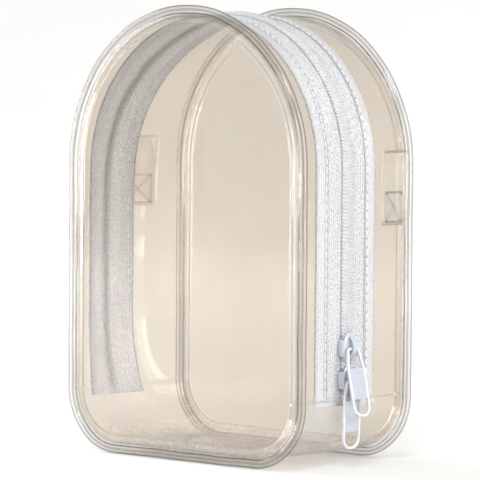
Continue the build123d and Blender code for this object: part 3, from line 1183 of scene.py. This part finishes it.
stand_for(make_tape("front_tape", -1, TAPE_FRONT), "white_tape", "zipper_tape_front")
stand_for(make_tape("back_tape", 1, TAPE_BACK), "white_tape", "zipper_tape_back")
stand_for(make_coil("front_chain", -1), "white_coil", "coil_front")
stand_for(make_coil("back_chain", 1), "white_coil", "coil_back")
stand_for(make_core("front_core", -1), "white_tape", "core_cord_front")
stand_for(make_core("back_core", 1), "white_tape", "core_cord_back")
stand_for(make_seam_stitches("front_seam", SEAM_FRONT), "white_tape")
stand_for(make_seam_stitches("back_seam", SEAM_BACK), "white_tape")
stand_for(make_seam_hole_shade("front_seam_hole_shade", SEAM_FRONT, 0.11), "white_tape")
stand_for(make_seam_hole_shade("back_seam_hole_shade", SEAM_BACK, 0.2), "white_tape")
stand_for(make_chain_stitches("front_chain_stitches", -1), "white_tape")
stand_for(make_chain_stitches("back_chain_stitches", 1), "white_tape")

joint_of = {joint["child"]: joint for joint in frame["joints"]}
for which in ("upper", "lower"):
    slider, pull = which + "_slider", which + "_pull"
    casting = make_slider_body(slider + "_casting", slider + "_body")
    stand_for(casting, "white_enamel", slider + "_body")
    stand_for(make_crown(slider + "_bridge", slider + "_crown"), "white_enamel", slider + "_crown")
    rim, web = make_pull(pull, Vector(joint_of[pull]["pos_m"]))
    stand_for(rim, "white_enamel", pull)
    stand_for(web, "white_enamel")

for name, node, side in (("right_loop", "right_loop_tab", 1), ("left_loop", "left_loop_tab", -1)):
    strap, emboss = make_loop_tab(name, node, side)
    stand_for(strap, "clear_film", node)
    stand_for(emboss, "clear_film")


# ------------------------ table, light and camera

TABLE_RADIUS = 1.5
WALL_CURVE = 1.3
WALL_TOP = 2.6


def table_finish():
    """A matt off-white with a faint glow of its own, which keeps the far wall pale."""
    material, tree, output = new_material("pale_table")
    shader = add_node(
        tree, "ShaderNodeBsdfPrincipled", Roughness=0.9, Emission_Color=(1.0, 0.99, 0.975, 1),
        Emission_Strength=0.19,
    )
    tone = ramp(tree, noise(tree, 6.0, 3.0), (0.3, (0.63, 0.627, 0.62)), (0.7, (0.65, 0.647, 0.64)))
    tree.links.new(tone.outputs["Color"], shader.inputs["Base Color"])
    tree.links.new(shader.outputs["BSDF"], output.inputs["Surface"])
    return material


def make_stage():
    """A flat table that curves up all round into a low pale wall."""
    profile = [(0.4, 0.0), (0.9, 0.0), (TABLE_RADIUS, 0.0)]
    for k in range(1, 13):
        a = math.pi / 2 * k / 12
        profile.append((TABLE_RADIUS + WALL_CURVE * math.sin(a), WALL_CURVE * (1 - math.cos(a))))
    profile.append((TABLE_RADIUS + WALL_CURVE, WALL_TOP))
    turns = 72
    verts = [(0, 0, 0)]
    for r, z in profile:
        for j in range(turns):
            a = 2 * math.pi * j / turns
            verts.append((r * math.cos(a), r * math.sin(a), z))
    faces = [(0, 1 + j, 1 + (j + 1) % turns) for j in range(turns)]
    faces += [face[::-1] for face in band(len(profile), turns, 1)]
    mesh = bpy.data.meshes.new("table")
    mesh.from_pydata(verts, [], faces)
    for polygon in mesh.polygons:
        polygon.use_smooth = True
    mesh.materials.append(table_finish())
    table = bpy.data.objects.new("table", mesh)
    bpy.context.scene.collection.objects.link(table)


make_stage()


def soft_light(name, place, target, size, power, spread=180, colour=(1, 1, 1)):
    """A rectangular lamp with its size in metres, its power in watts and its spread in degrees."""
    data = bpy.data.lights.new(name, "AREA")
    data.shape = "RECTANGLE"
    data.size, data.size_y = size
    data.energy = power
    data.spread = math.radians(spread)
    data.color = colour
    lamp = bpy.data.objects.new(name, data)
    lamp.location = place
    lamp.rotation_euler = (Vector(target) - Vector(place)).to_track_quat("-Z", "Y").to_euler()
    bpy.context.scene.collection.objects.link(lamp)


BAG_MIDDLE = (0, 0, 0.08)
FAR_WALL = (-1.7, 1.9, 0.2)
LEFT_TAPE_FOOT = (-0.072, 0, 0.026)
COOL = (0.84, 0.93, 1.0)
soft_light("right_panel", (1.5, 0.15, 0.5), BAG_MIDDLE, (0.7, 1.0), 16.5)
soft_light("left_panel", (-1.3, -0.1, 0.5), BAG_MIDDLE, (0.5, 1.0), 15)
soft_light("rear_glow", (-0.65, 0.7, 1.1), FAR_WALL, (1.4, 0.8), 11)
soft_light("high_key", (0.56, -0.73, 0.92), BAG_MIDDLE, (0.3, 0.3), 6.8)
soft_light("left_strip", (-1.1, -0.5, 0.12), BAG_MIDDLE, (0.12, 0.26), 5)
soft_light("low_key", (1.05, -1.0, 0.34), LEFT_TAPE_FOOT, (0.06, 0.06), 0.036, 5, COOL)

world = bpy.data.worlds.new("studio")
world.use_nodes = True
background = world.node_tree.nodes["Background"]
background.inputs["Color"].default_value = (1, 1, 1, 1)
background.inputs["Strength"].default_value = 0.63

scene = bpy.context.scene
scene.world = world
scene.view_settings.view_transform = "Standard"
scene.cycles.transparent_max_bounces = 48
scene.cycles.max_bounces = 10

CAMERA_AWAY = 1.223
azimuth, elevation, roll = math.radians(41.72), math.radians(2.89), math.radians(0.40)
target = Vector(((BAG_X + 0.67) * MM, 0, 0.0792))
level = math.cos(elevation)
away = Vector((math.sin(azimuth) * level, -math.cos(azimuth) * level, math.sin(elevation)))
camera_data = bpy.data.cameras.new("camera")
camera_data.lens = 250
camera_data.clip_end = 20
camera = bpy.data.objects.new("camera", camera_data)
camera.matrix_world = (
    Matrix.Translation(target + away * CAMERA_AWAY)
    @ (-away).to_track_quat("-Z", "Y").to_matrix().to_4x4()
    @ Matrix.Rotation(roll, 4, "Z")
)
scene.collection.objects.link(camera)
scene.camera = camera
